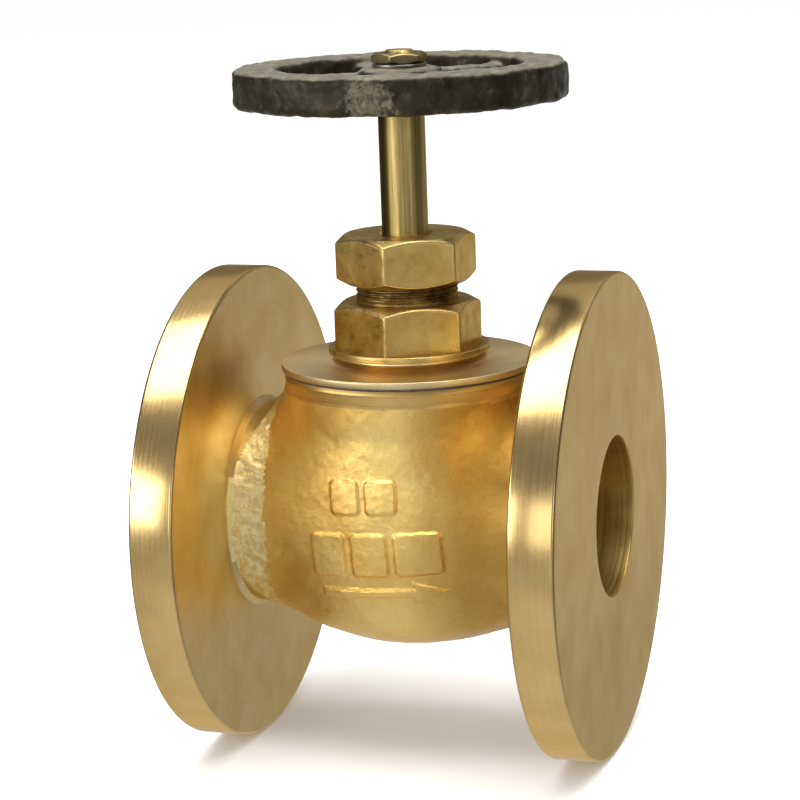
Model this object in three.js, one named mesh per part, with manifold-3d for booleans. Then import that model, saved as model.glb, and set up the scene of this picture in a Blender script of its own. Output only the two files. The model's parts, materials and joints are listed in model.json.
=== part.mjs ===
// Flanged bronze globe valve with a screwed bonnet, an inside screw and a rising stem, shown fully open.
// Millimetres, +Z up. The pipe runs along X and the flow goes towards +X. The stem stands on Z.
// The origin is the point where the pipe's axis crosses the stem's axis.

import * as THREE from 'three';
import { mergeVertices } from 'three/addons/utils/BufferGeometryUtils.js';
import Module from 'manifold-3d';

const wasm = await Module();
wasm.setup();

// ---- driving dimensions ----

const GAP = 0.3; // clearance between pieces that touch on the real valve
const SLIM_GAP = 0.2; // the same between washers and what they lie on
const LAP = 1; // how far joined solids sink into each other and cutting tools run past a surface
const FINE = 48; // segments round a large turned surface
const MEDIUM = 36;
const SMALL = 24;
const HEX_CHAMFER = 0.6; // how far the chamfer comes inside the flats
const HEX_CLEAR = 0.1; // how far the chamfer's cone stands outside the corners

// Body casting.
const BORE_R = 25;
const FLANGE_R = 76;
const FLANGE_THICK = 14.2;
const FACE_X = 65.5; // half of the face-to-face length
const FLANGE_BACK_X = FACE_X - FLANGE_THICK;
const FLANGE_EDGE = 0.8;
const NECK_R = 32;
const NECK_FILLET = 2;
const NECK_START_X = 20; // inside the barrel
const BARREL_R = 38.4;
const BARREL_LIP_R = 39.6;
const BAND_FOOT_R = 38.7;
const BARREL_TOP = 45.5;
const TURNED_BAND = 6; // height of the machined band below the body's top face
const BARREL_BOTTOM = -42.5;
const BARREL_KNUCKLE_Z = -16; // where the straight barrel starts to curve into the round bottom
const BOTTOM_ROUNDNESS = 2.4; // exponent of the bottom's superellipse
const BOTTOM_STEPS = 10;
const WALL = 5.4;

// Raised marks on the front of the barrel, in x and z before they are tilted.
const MARK_RELIEF = 0.8;
const MARK_TILT = 3.2; // degrees, the marks rise towards +X
const MARK_BACK_Y = -20;
const TABLETS = [ // left, right, low, high
  [-13.8, -4.4, 7.4, 17.6],
  [-2.2, 7.4, 7.4, 17.6],
  [-22, -10.5, -12, 1.2],
  [-8.2, 3.3, -12, 1.2],
  [5.6, 20, -12, 1.2],
];
const ARROW = [
  [-21, -16.8], [-15, -18.8], [10.5, -18.8], [10.5, -20.9], [20.5, -17.6],
  [10.5, -14.3], [10.5, -16.4], [-15, -16.4],
];

// Wall between the inlet and outlet chambers, and the seat that is screwed into it.
const DECK_TOP = -4;
const DECK_THICK = 6;
const DECK_HALF = 31; // half length of the wall's level part
const WALL_END_X = 46; // where the sloping ends of the wall meet the bores
const WALL_SLANT = 3;
const WALL_ROOT = 4; // how far the wall's ends sink into the roof and the floor of the bores
const SEAT_THREAD_R = 26;
const SEAT_BORE_R = 22;
const SEAT_FLANGE_R = 29.4;
const SEAT_FLANGE_THICK = 2;
const SEAT_LAND = 2.8; // width of the face that the disc closes on
const SEAT_CHAMFER = 0.6;
const SEAT_TOP = -0.5;

// Disc and its pieces. LIFT is the stem's whole travel, so the disc is drawn LIFT above the seat.
const LIFT = 14;
const SEAT_CLEARANCE = 0.1;
const DISC_R = 28.4;
const INSERT_R = 26.2;
const INSERT_THICK = 4;
const INSERT_Z = SEAT_TOP + SEAT_CLEARANCE + LIFT;
const INSERT_WASHER_R = 16;
const INSERT_WASHER_THICK = 2;
const INSERT_NUT_HEX = 16; // across flats
const INSERT_NUT_HEIGHT = 5.8;
const STUD_R = 5;
const STUD_END_Z = INSERT_Z - 9.6;
const STUD_CHAMFER = 0.6;
const HOLDER_SKIRT_Z = INSERT_Z + 0.9;
const HOLDER_PLATE_Z = INSERT_Z + INSERT_THICK + GAP;
const HOLDER_FLOOR_Z = HOLDER_PLATE_Z + 3;
const HOLDER_BEVEL = 1.5;
const SOCKET_R = 16.6;
const SOCKET_TOP = HOLDER_PLATE_Z + 15.2;
const HEAD_CHAMBER_R = 12.2;
const SWIVEL_THREAD_R = 13.8;
const SWIVEL_THREAD_LENGTH = 6.2;
const SWIVEL_HEX = 27; // across flats
const THRUST_PAD_R = 9;

// Stem. The thread is drawn at its crest radius.
const STEM_R = 7.25;
const STEM_THREAD_R = 9;
const STEM_NECK_R = 8.3;
const STEM_HEAD_R = 11.6;
const STEM_HEAD_Z = HOLDER_FLOOR_Z + 1.9;
const STEM_HEAD_THICK = 3.8;
const STEM_THREAD_Z = 39.3;
const STEM_THREAD_TOP = 64;
const STEM_CHAMFER = 1;
const WHEEL_SEAT_Z = 129;
const WHEEL_SQUARE = 10;
const SQUARE_TOP = 139.1;
const STEM_END_R = 4.9;
const STEM_END_Z = 144.6;
const THREAD_CHAMFER = 0.8;

// Bonnet.
const BONNET_THREAD_R = 33;
const BONNET_SKIRT_R = 29.8;
const BONNET_SKIRT_Z = 31;
const BONNET_CEILING = 41;
const CEILING_BEVEL = 3;
const BACK_SEAT_R = 12.6;
const BACK_SEAT_RIM_R = 15.5;
const BACK_SEAT_Z = 39.2;
const BACK_SEAT_DEPTH = 2;
const BACK_SEAT_GAP = 0.5; // left below the back seat when the valve is fully open
const BACK_CONE_R = [12.4, 10.6]; // foot and top of the swivel nut's cone, which meets the back seat
const BACK_CONE_HEIGHT = 1.6;
const COVER_R = 40.3;
const COVER_Z = 46.4;
const COVER_TOP = 48.4;
const GASKET_R = 39.2;
const GASKET_GAP = 0.15;
const EDGE = 0.4; // broken edges of the cover and the collar
const BOSS_FLARE = [[4.4, 0], [1.3, 0.7], [0, 2]]; // the boss's foot, in [out, up]
const BOSS_R = 22.2;
const COLLAR_R = 25.3;
const COLLAR_Z = 51;
const HEX_Z = 53;
const BONNET_HEX = 41; // across flats
const BONNET_HEX_TOP = 67;
const NECK_THREAD_R = 16;
const NECK_TOP = 80.7;

// Stuffing box, gland and gland nut.
const BOX_R = 11.6;
const BOX_Z = 65;
const BOX_MOUTH = 1;
const PACKING_WASHER_THICK = 1.4;
const PACKING_COUNT = 3;
const PACKING_HEIGHT = 3.2;
const PACKING_PITCH = 3.4;
const PACKING_Z = BOX_Z + SLIM_GAP + PACKING_WASHER_THICK + GAP;
const GLAND_Z = PACKING_Z + PACKING_COUNT * PACKING_PITCH;
const GLAND_FLANGE_R = 15;
const GLAND_FLANGE_Z = 81;
const GLAND_TOP = 83.4;
const GLAND_NUT_HEX = 39; // across flats
const GLAND_NUT_Z = 73;
const GLAND_NUT_TOP = 88;
const GLAND_NUT_MOUTH = 1;
const STEM_CLEARANCE = 0.3;

// Handwheel and its nut.
const WHEEL_R = 52.2;
const WHEEL_INNER_R = 37.4;
const WHEEL_Z = 128.8;
const WHEEL_TOP = 140.3;
const WHEEL_LOBES = 10;
const LOBE_STEPS = 8;
const LOBE_DEPTH = 1.3;
const HUB_R = 13.6;
const HUB_TOP = 139.4;
const SPOKES = 5;
const SPOKE_WIDTH = 8;
const SPOKE_SINK = 3; // how far a spoke runs into the rim
const SPOKE_Z = 132;
const SPOKE_TOP = 138;
const SPOKE_TURN = 53; // degrees from +X to the first spoke
const WHEEL_WASHER_R = 8.4;
const WHEEL_WASHER_THICK = 0.8;
const WHEEL_NUT_HEX = 15.6; // across flats
const WHEEL_NUT_HEIGHT = 3.2;

// ---- materials ----

function metal(color, roughness, metalness) {
  return new THREE.MeshStandardMaterial({ color, roughness, metalness });
}

const CAST_BRONZE = metal(0xc08a2e, 0.5, 1);
const BRASS = metal(0xa5813c, 0.35, 1);
const BRIGHT_BRASS = metal(0xc9a657, 0.25, 1);
const BLACK_IRON = metal(0x2b2a22, 0.6, 0.4);
const STEEL = metal(0x9a9890, 0.35, 1);
const PTFE = metal(0xe9e6da, 0.5, 0);
const GRAPHITE = metal(0x2f3033, 0.7, 0.1);
const FIBRE = metal(0x6e6252, 0.9, 0);

// ---- solids ----

function signedVolume(position, index) {
  const [a, b, c] = [new THREE.Vector3(), new THREE.Vector3(), new THREE.Vector3()];
  let volume = 0;
  for (let i = 0; i < index.length; i += 3) {
    a.fromBufferAttribute(position, index[i]);
    b.fromBufferAttribute(position, index[i + 1]);
    c.fromBufferAttribute(position, index[i + 2]);
    volume += a.dot(b.cross(c)) / 6;
  }
  return volume;
}

// The geometry as a closed solid: shared vertices merged, empty triangles dropped, faces outwards.
function solid(geometry) {
  geometry.deleteAttribute('normal');
  geometry.deleteAttribute('uv');
  const merged = mergeVertices(geometry, 1e-4);
  const position = merged.getAttribute('position');
  const all = Array.from(merged.index.array);
  const index = [];
  for (let i = 0; i < all.length; i += 3) {
    const [a, b, c] = all.slice(i, i + 3);
    if (a !== b && b !== c && c !== a) index.push(a, b, c);
  }
  if (signedVolume(position, index) < 0) index.reverse();
  const mesh = new wasm.Mesh({
    numProp: 3,
    vertProperties: new Float32Array(position.array),
    triVerts: new Uint32Array(index),
  });
  return new wasm.Manifold(mesh);
}

function geometryOf(manifold) {
  const { vertProperties, triVerts } = manifold.getMesh();
  const geometry = new THREE.BufferGeometry();
  geometry.setAttribute('position', new THREE.BufferAttribute(vertProperties, 3));
  geometry.setIndex(new THREE.BufferAttribute(triVerts, 1));
  geometry.computeVertexNormals();
  return geometry;
}

// A profile of [radius, z] points turned about the stem's axis.
function turned(profile, segments = MEDIUM) {
  const points = profile.map(([r, z]) => new THREE.Vector2(r, z));
  return solid(new THREE.LatheGeometry(points, segments).rotateX(Math.PI / 2));
}

// A profile of [radius, x] points turned about the pipe's axis.
function turnedOnPipe(profile, segments = FINE) {
  const points = profile.map(([r, x]) => new THREE.Vector2(r, x));
  return solid(new THREE.LatheGeometry(points, segments).rotateZ(-Math.PI / 2));
}

function rod(radius, low, high, segments = MEDIUM) {
  return turned([[0, low], [radius, low], [radius, high], [0, high]], segments);
}

function ring(inner, outer, low, high, segments = MEDIUM) {
  return turned([[inner, low], [outer, low], [outer, high], [inner, high], [inner, low]], segments);
}

// A square block about the stem's axis.
function block(side, low, high) {
  return solid(new THREE.BoxGeometry(side, side, high - low).translate(0, 0, (low + high) / 2));
}

// A hexagonal prism about the stem's axis, with two corners on the Y axis.
function hexPrism(acrossFlats, low, high) {
  const corner = acrossFlats / Math.sqrt(3);
  const prism = new THREE.CylinderGeometry(corner, corner, high - low, 6);
  return solid(prism.rotateX(Math.PI / 2).translate(0, 0, (low + high) / 2));
}

// A hexagon whose corners are cut by a 30 degree chamfer at the top, and at the bottom if wanted.
function chamferedHex(acrossFlats, low, high, bottomToo) {
  const corner = acrossFlats / Math.sqrt(3) + HEX_CLEAR;
  const flat = acrossFlats / 2 - HEX_CHAMFER;
  const drop = (corner - flat) * Math.tan(Math.PI / 6);
  const foot = bottomToo ? [[flat, low], [corner, low + drop]] : [[corner, low]];
  const cone = turned([[0, low], ...foot, [corner, high - drop], [flat, high], [0, high]], MEDIUM);
  return hexPrism(acrossFlats, low, high).intersect(cone);
}

// An outline of [x, z] points, as a prism through the body from y = back to y = front.
function prismAcross(outline, front, back) {
  const shape = new THREE.Shape(outline.map(([x, z]) => new THREE.Vector2(x, z)));
  const prism = new THREE.ExtrudeGeometry(shape, { depth: back - front, bevelEnabled: false });
  return solid(prism.rotateX(Math.PI / 2).translate(0, back, 0));
}

function add(first, ...others) {
  return others.reduce((sum, part) => sum.add(part), first);
}

function cut(first, ...others) {
  return others.reduce((rest, part) => rest.subtract(part), first);
}

// ---- body ----

// The barrel: straight walls that open a little into the turned lip, and a rounded bottom.
function barrel(offset, top) {
  const bottom = [];
  for (let i = 0; i <= BOTTOM_STEPS; i += 1) {
    const t = (i / BOTTOM_STEPS) * (Math.PI / 2);
    const out = Math.sin(t) ** (2 / BOTTOM_ROUNDNESS);
    const down = Math.cos(t) ** (2 / BOTTOM_ROUNDNESS);
    const depth = BARREL_KNUCKLE_Z - BARREL_BOTTOM + offset;
    bottom.push([(BARREL_R + offset) * out, BARREL_KNUCKLE_Z - depth * down]);
  }
  const bandFoot = [BAND_FOOT_R + offset, BARREL_TOP - TURNED_BAND];
  return turned([...bottom, bandFoot, [BARREL_LIP_R + offset, top], [0, top]], FINE);
}

function flangeAndNeck(side) {
  const profile = [
    [0, NECK_START_X],
    [NECK_R, NECK_START_X],
    [NECK_R, FLANGE_BACK_X - NECK_FILLET],
    [NECK_R + NECK_FILLET, FLANGE_BACK_X],
    [FLANGE_R - FLANGE_EDGE, FLANGE_BACK_X],
    [FLANGE_R, FLANGE_BACK_X + FLANGE_EDGE],
    [FLANGE_R, FACE_X - FLANGE_EDGE],
    [FLANGE_R - FLANGE_EDGE, FACE_X],
    [0, FACE_X],
  ];
  return turnedOnPipe(profile.map(([r, x]) => [r, side * x]));
}

// The wall that makes the flow climb through the seat: down from the inlet's roof, level, down to the outlet.
function dividingWall() {
  const low = DECK_TOP - DECK_THICK;
  const outline = [
    [-WALL_END_X, BORE_R + WALL_ROOT],
    [-WALL_END_X, BORE_R - WALL_SLANT],
    [-DECK_HALF - WALL_SLANT, low],
    [DECK_HALF, low],
    [WALL_END_X - WALL_SLANT, -BORE_R - WALL_ROOT],
    [WALL_END_X, -BORE_R - WALL_ROOT],
    [WALL_END_X, -BORE_R + WALL_SLANT],
    [DECK_HALF + WALL_SLANT, DECK_TOP],
    [-DECK_HALF, DECK_TOP],
    [-WALL_END_X + 2 * WALL_SLANT, BORE_R + WALL_ROOT],
  ];
  return prismAcross(outline, -BARREL_R, BARREL_R);
}

function chambers() {
  const inner = barrel(-WALL, BARREL_TOP + LAP);
  const end = FACE_X + LAP;
  const bore = turnedOnPipe([[0, -end], [BORE_R, -end], [BORE_R, end], [0, end]], MEDIUM);
  const seatHole = rod(SEAT_THREAD_R, DECK_TOP - DECK_THICK - LAP, DECK_TOP + LAP);
  const bonnetHole = rod(BONNET_THREAD_R, BONNET_SKIRT_Z - LAP, BARREL_TOP + LAP);
  return add(cut(add(inner, bore), dividingWall()), seatHole, bonnetHole);
}

function castMarks() {
  const corners = ([left, right, low, high]) => [[left, low], [right, low], [right, high], [left, high]];
  const outlines = [...TABLETS.map(corners), ARROW];
  const level = outlines.map((outline) => prismAcross(outline, -BARREL_R - 2 * LAP, MARK_BACK_Y));
  const skin = cut(barrel(MARK_RELIEF, BARREL_TOP - TURNED_BAND), barrel(-LAP, BARREL_TOP));
  return add(...level).rotate([0, -MARK_TILT, 0]).intersect(skin);
}

function bodyCasting() {
  const outside = add(flangeAndNeck(1), flangeAndNeck(-1), barrel(0, BARREL_TOP), castMarks());
  return cut(outside, chambers());
}

function seatRing() {
  const thread = SEAT_THREAD_R - GAP;
  const low = DECK_TOP - DECK_THICK - 1;
  const step = DECK_TOP + GAP;
  const landEdge = SEAT_BORE_R + SEAT_CHAMFER + SEAT_LAND;
  return turned([
    [SEAT_BORE_R, low],
    [thread, low],
    [thread, step],
    [SEAT_FLANGE_R, step],
    [SEAT_FLANGE_R, step + SEAT_FLANGE_THICK - SEAT_CHAMFER],
    [SEAT_FLANGE_R - SEAT_CHAMFER, step + SEAT_FLANGE_THICK],
    [landEdge, step + SEAT_FLANGE_THICK],
    [landEdge, SEAT_TOP],
    [SEAT_BORE_R + SEAT_CHAMFER, SEAT_TOP],
    [SEAT_BORE_R, SEAT_TOP - SEAT_CHAMFER],
    [SEAT_BORE_R, low],
  ]);
}

// ---- disc ----

function discHolder() {
  const insertHole = INSERT_R + GAP;
  const chamberTop = SOCKET_TOP - SWIVEL_THREAD_LENGTH - GAP;
  return turned([
    [0, STUD_END_Z],
    [STUD_R - STUD_CHAMFER, STUD_END_Z],
    [STUD_R, STUD_END_Z + STUD_CHAMFER],
    [STUD_R, HOLDER_PLATE_Z],
    [insertHole, HOLDER_PLATE_Z],
    [insertHole, HOLDER_SKIRT_Z],
    [DISC_R, HOLDER_SKIRT_Z],
    [DISC_R, HOLDER_FLOOR_Z - HOLDER_BEVEL],
    [DISC_R - HOLDER_BEVEL, HOLDER_FLOOR_Z],
    [SOCKET_R, HOLDER_FLOOR_Z + HOLDER_BEVEL],
    [SOCKET_R, SOCKET_TOP],
    [SWIVEL_THREAD_R, SOCKET_TOP],
    [SWIVEL_THREAD_R, chamberTop],
    [HEAD_CHAMBER_R, chamberTop],
    [HEAD_CHAMBER_R, HOLDER_FLOOR_Z],
    [0, HOLDER_FLOOR_Z],
  ]);
}

function discInsert() {
  return ring(STUD_R + GAP, INSERT_R, INSERT_Z, INSERT_Z + INSERT_THICK);
}

function insertWasher() {
  const high = INSERT_Z - GAP;
  return ring(STUD_R + GAP, INSERT_WASHER_R, high - INSERT_WASHER_THICK, high, SMALL);
}

function insertNut() {
  const high = INSERT_Z - INSERT_WASHER_THICK - 2 * GAP;
  const low = high - INSERT_NUT_HEIGHT;
  return cut(chamferedHex(INSERT_NUT_HEX, low, high, true), rod(STUD_R + GAP, low - LAP, high + LAP, SMALL));
}

function swivelNut() {
  const hexZ = SOCKET_TOP + GAP;
  const coneTop = BACK_SEAT_Z - BACK_SEAT_GAP;
  const hexTop = coneTop - BACK_CONE_HEIGHT;
  const [foot, tip] = BACK_CONE_R;
  const hexFoot = hexTop - LAP;
  const cone = turned([[0, hexFoot], [foot, hexFoot], [foot, hexTop], [tip, coneTop], [0, coneTop]]);
  const screw = rod(SWIVEL_THREAD_R - GAP, SOCKET_TOP - SWIVEL_THREAD_LENGTH, hexZ + LAP);
  const outside = add(chamferedHex(SWIVEL_HEX, hexZ, hexTop, false), cone, screw);
  return cut(outside, rod(STEM_THREAD_R + GAP, HOLDER_FLOOR_Z, BACK_SEAT_Z));
}

function thrustPad() {
  return rod(THRUST_PAD_R, HOLDER_FLOOR_Z + GAP, STEM_HEAD_Z - GAP, SMALL);
}

// ---- stem ----

function stem() {
  const headTop = STEM_HEAD_Z + STEM_HEAD_THICK;
  const turnedPart = turned([
    [0, STEM_HEAD_Z],
    [STEM_HEAD_R - STEM_CHAMFER, STEM_HEAD_Z],
    [STEM_HEAD_R, STEM_HEAD_Z + STEM_CHAMFER],
    [STEM_HEAD_R, headTop],
    [STEM_NECK_R, headTop],
    [STEM_NECK_R, STEM_THREAD_Z - THREAD_CHAMFER],
    [STEM_THREAD_R, STEM_THREAD_Z],
    [STEM_THREAD_R, STEM_THREAD_TOP - STEM_CHAMFER],
    [STEM_R, STEM_THREAD_TOP],
    [STEM_R, WHEEL_SEAT_Z],
    [0, WHEEL_SEAT_Z],
  ]);
  const end = turned([
    [0, SQUARE_TOP - LAP],
    [STEM_END_R, SQUARE_TOP - LAP],
    [STEM_END_R, STEM_END_Z - THREAD_CHAMFER],
    [STEM_END_R - THREAD_CHAMFER, STEM_END_Z],
    [0, STEM_END_Z],
  ], SMALL);
  return add(turnedPart, block(WHEEL_SQUARE, WHEEL_SEAT_Z - LAP, SQUARE_TOP), end);
}

// ---- bonnet, packing and gland ----

function bonnet() {
  const skirt = BONNET_THREAD_R - GAP;
  const outside = turned([
    [0, BONNET_SKIRT_Z],
    [skirt, BONNET_SKIRT_Z],
    [skirt, COVER_Z],
    [COVER_R, COVER_Z],
    [COVER_R, COVER_TOP - EDGE],
    [COVER_R - EDGE, COVER_TOP],
    ...BOSS_FLARE.map(([out, up]) => [BOSS_R + out, COVER_TOP + up]),
    [BOSS_R, COLLAR_Z],
    [COLLAR_R, COLLAR_Z],
    [COLLAR_R, HEX_Z - EDGE],
    [COLLAR_R - EDGE, HEX_Z],
    [NECK_THREAD_R, HEX_Z],
    [NECK_THREAD_R, NECK_TOP - THREAD_CHAMFER],
    [NECK_THREAD_R - THREAD_CHAMFER, NECK_TOP],
    [0, NECK_TOP],
  ], FINE);
  const hollow = turned([
    [0, BONNET_SKIRT_Z - LAP],
    [BONNET_SKIRT_R, BONNET_SKIRT_Z - LAP],
    [BONNET_SKIRT_R, BONNET_CEILING - CEILING_BEVEL],
    [BONNET_SKIRT_R - CEILING_BEVEL, BONNET_CEILING],
    [BACK_SEAT_RIM_R + BACK_SEAT_DEPTH, BONNET_CEILING],
    [BACK_SEAT_RIM_R, BACK_SEAT_Z],
    [BACK_SEAT_R, BACK_SEAT_Z],
    [STEM_THREAD_R + GAP, BACK_SEAT_Z + BACK_SEAT_DEPTH],
    [STEM_THREAD_R + GAP, BOX_Z],
    [BOX_R, BOX_Z],
    [BOX_R, NECK_TOP - BOX_MOUTH],
    [BOX_R + 2 * BOX_MOUTH, NECK_TOP + BOX_MOUTH],
    [0, NECK_TOP + BOX_MOUTH],
  ]);
  return cut(add(outside, chamferedHex(BONNET_HEX, HEX_Z - LAP, BONNET_HEX_TOP, false)), hollow);
}

function bonnetGasket() {
  return ring(BONNET_THREAD_R, GASKET_R, BARREL_TOP + GASKET_GAP, COVER_Z - GASKET_GAP);
}

function packingWasher() {
  const low = BOX_Z + SLIM_GAP;
  return ring(STEM_R + STEM_CLEARANCE, BOX_R - GAP, low, low + PACKING_WASHER_THICK, SMALL);
}

function packingRing(place) {
  const low = PACKING_Z + place * PACKING_PITCH;
  return ring(STEM_R + STEM_CLEARANCE, BOX_R - GAP, low, low + PACKING_HEIGHT, SMALL);
}

function gland() {
  const bore = STEM_R + STEM_CLEARANCE;
  return turned([
    [bore, GLAND_Z],
    [BOX_R - GAP, GLAND_Z],
    [BOX_R - GAP, GLAND_FLANGE_Z],
    [GLAND_FLANGE_R, GLAND_FLANGE_Z],
    [GLAND_FLANGE_R, GLAND_TOP],
    [bore, GLAND_TOP],
    [bore, GLAND_Z],
  ], SMALL);
}

function glandNut() {
  const bore = STEM_R + STEM_CLEARANCE;
  const thread = NECK_THREAD_R + GAP;
  const hollow = turned([
    [0, GLAND_NUT_Z - GLAND_NUT_MOUTH],
    [thread + GLAND_NUT_MOUTH, GLAND_NUT_Z - GLAND_NUT_MOUTH],
    [thread, GLAND_NUT_Z + GLAND_NUT_MOUTH],
    [thread, GLAND_TOP + GAP],
    [bore, GLAND_TOP + GAP],
    [bore, GLAND_NUT_TOP + LAP],
    [0, GLAND_NUT_TOP + LAP],
  ]);
  return cut(chamferedHex(GLAND_NUT_HEX, GLAND_NUT_Z, GLAND_NUT_TOP, true), hollow);
}

// ---- handwheel ----

// The rim's outer edge has shallow finger lobes.
function rimOutline() {
  const steps = WHEEL_LOBES * LOBE_STEPS;
  const points = [];
  for (let i = 0; i < steps; i += 1) {
    const turn = (i / steps) * 2 * Math.PI;
    const r = WHEEL_R - LOBE_DEPTH * (1 - Math.abs(Math.cos((WHEEL_LOBES * turn) / 2)));
    points.push(new THREE.Vector2(r * Math.cos(turn), r * Math.sin(turn)));
  }
  return new THREE.Shape(points);
}

function spoke(place) {
  const length = WHEEL_INNER_R + SPOKE_SINK;
  const bar = new THREE.BoxGeometry(length, SPOKE_WIDTH, SPOKE_TOP - SPOKE_Z);
  const turn = THREE.MathUtils.degToRad(SPOKE_TURN + (place * 360) / SPOKES);
  return solid(bar.translate(length / 2, 0, (SPOKE_TOP + SPOKE_Z) / 2).rotateZ(turn));
}

function handwheel() {
  const blank = new THREE.ExtrudeGeometry(rimOutline(), { depth: WHEEL_TOP - WHEEL_Z, bevelEnabled: false });
  const rim = cut(solid(blank.translate(0, 0, WHEEL_Z)), rod(WHEEL_INNER_R, WHEEL_Z - LAP, WHEEL_TOP + LAP));
  const spokes = Array.from({ length: SPOKES }, (_, place) => spoke(place));
  const hub = rod(HUB_R, WHEEL_SEAT_Z + GAP, HUB_TOP);
  return cut(add(rim, hub, ...spokes), block(WHEEL_SQUARE + 2 * GAP, WHEEL_SEAT_Z, HUB_TOP + LAP));
}

function handwheelWasher() {
  const low = HUB_TOP + SLIM_GAP;
  return ring(STEM_END_R + GAP, WHEEL_WASHER_R, low, low + WHEEL_WASHER_THICK, SMALL);
}

function handwheelNut() {
  const low = HUB_TOP + WHEEL_WASHER_THICK + 2 * SLIM_GAP;
  const high = low + WHEEL_NUT_HEIGHT;
  const hole = rod(STEM_END_R + GAP, low - LAP, high + LAP, SMALL);
  return cut(chamferedHex(WHEEL_NUT_HEX, low, high, true), hole);
}

// ---- assembly ----

const valve = new THREE.Group();

function piece(name, shape, material) {
  const mesh = new THREE.Mesh(geometryOf(shape), material);
  mesh.name = name;
  valve.add(mesh);
}

piece('body_casting', bodyCasting(), CAST_BRONZE);
piece('seat_ring', seatRing(), BRASS);
piece('disc_holder', discHolder(), BRASS);
piece('disc_insert', discInsert(), PTFE);
piece('insert_washer', insertWasher(), BRASS);
piece('insert_nut', insertNut(), BRASS);
piece('swivel_nut', swivelNut(), BRASS);
piece('thrust_pad', thrustPad(), STEEL);
piece('stem', stem(), BRIGHT_BRASS);
piece('bonnet', bonnet(), BRASS);
piece('bonnet_gasket', bonnetGasket(), FIBRE);
piece('packing_washer', packingWasher(), BRASS);
for (let place = 0; place < PACKING_COUNT; place += 1) {
  piece(`packing_ring_${place + 1}`, packingRing(place), GRAPHITE);
}
piece('gland', gland(), BRASS);
piece('gland_nut', glandNut(), BRASS);
piece('handwheel', handwheel(), BLACK_IRON);
piece('handwheel_washer', handwheelWasher(), STEEL);
piece('handwheel_nut', handwheelNut(), BRIGHT_BRASS);

export default valve;
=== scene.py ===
"""Looks of a flanged bronze globe valve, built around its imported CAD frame.

Lengths are in millimetres until a mesh is made. The pipe runs along X and the stem stands on Z.
"""
import json
import math

import bpy
import numpy as np
from mathutils import Matrix, Vector, noise


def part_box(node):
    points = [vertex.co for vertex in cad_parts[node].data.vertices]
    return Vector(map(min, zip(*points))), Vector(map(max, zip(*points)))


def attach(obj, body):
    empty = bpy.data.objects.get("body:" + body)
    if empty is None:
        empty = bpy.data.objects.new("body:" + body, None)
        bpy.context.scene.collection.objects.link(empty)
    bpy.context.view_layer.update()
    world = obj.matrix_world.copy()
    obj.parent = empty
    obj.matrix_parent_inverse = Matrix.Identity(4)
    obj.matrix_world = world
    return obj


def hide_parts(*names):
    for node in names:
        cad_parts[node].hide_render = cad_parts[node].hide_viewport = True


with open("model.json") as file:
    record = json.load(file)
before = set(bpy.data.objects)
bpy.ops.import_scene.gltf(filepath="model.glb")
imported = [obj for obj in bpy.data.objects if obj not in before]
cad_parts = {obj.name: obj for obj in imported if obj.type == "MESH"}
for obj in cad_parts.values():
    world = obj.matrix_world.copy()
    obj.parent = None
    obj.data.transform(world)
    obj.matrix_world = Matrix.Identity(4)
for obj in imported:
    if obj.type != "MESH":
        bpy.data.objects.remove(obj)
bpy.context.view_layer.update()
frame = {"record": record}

MM = 0.001
RECORD = frame["record"]
BODY_OF = {node: body for body, nodes in RECORD["behaviour"]["bodies"].items() for node in nodes}


# ---- sizes, from the frame ----

def span(node):
    """Radius along X and the lowest and highest Z of a turned CAD node, in millimetres."""
    low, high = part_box(node)
    return high.x / MM, low.z / MM, high.z / MM


FACE_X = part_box("body_casting")[1].x / MM
FLANGE_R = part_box("body_casting")[1].y / MM
FLANGE_THICK = 14.2
FLANGE_BACK = FACE_X - FLANGE_THICK
BORE_R = 25.0
NECK_R = 32.0
BARREL_R = 38.4
BARREL_TOP = span("bonnet_gasket")[1] - 0.15
BAND_FOOT = BARREL_TOP - 6.0
CROWN_R = 62.0
BARREL_BOTTOM = -42.0
WALL = 5.4
DECK_TOP = -4.0
DECK_THICK = 6.0
STEM_R = 7.25
SQUARE = 10.0
MARK_RELIEF = 0.8
NECK_PITCH = 1.5
SEAT_PITCH = 2.0
SWIVEL_PITCH = 1.5
STUD_PITCH = 1.5
STEM_PITCH = 4.0
STEM_THREAD_FORM = {"crest": 0.33, "flank": 0.27}
COVER_PITCH = 2.0


# ---- mesh helpers ----

def mesh_object(name, points, faces):
    """A mesh from points in millimetres, in the row frame."""
    mesh = bpy.data.meshes.new(name)
    mesh.from_pydata((np.asarray(points) * MM).tolist(), [], faces)
    mesh.update()
    piece = bpy.data.objects.new(name, mesh)
    bpy.context.scene.collection.objects.link(piece)
    return piece


def smooth(piece, degrees=32):
    """Smooth shading, with edges sharper than the angle kept crisp."""
    piece.data.shade_smooth()
    piece.data.set_sharp_from_angle(angle=math.radians(degrees))
    return piece


def even_angles(count):
    return np.arange(count) * (2 * math.pi / count)


def hex_angles():
    """Angles round a hexagon, crowded near its six corners. Two corners lie on the Y axis."""
    side = [0, 0.35, 0.8, 1.4, 2.3, 4, 7, 11, 16, 22, 30, 38, 44, 49, 53, 56, 57.7, 58.6, 59.2, 59.65]
    return np.radians([30 + 60 * k + a for k in range(6) for a in side])


def soft_min(a, b, blend):
    h = np.clip(0.5 + 0.5 * (b - a) / blend, 0, 1)
    return b + (a - b) * h - blend * h * (1 - h)


def bell(x, middle, width):
    return np.exp(-((x - middle) / width) ** 2)


def hex_radius(theta, flats):
    """Distance from the axis to a hexagon's outline, its corners slightly rounded."""
    off = (theta + math.pi / 6) % (math.pi / 3) - math.pi / 6
    outline = flats / 2 / np.cos(off)
    return soft_min(outline, np.full_like(outline, flats / math.sqrt(3) - 0.1), 0.35)


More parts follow.
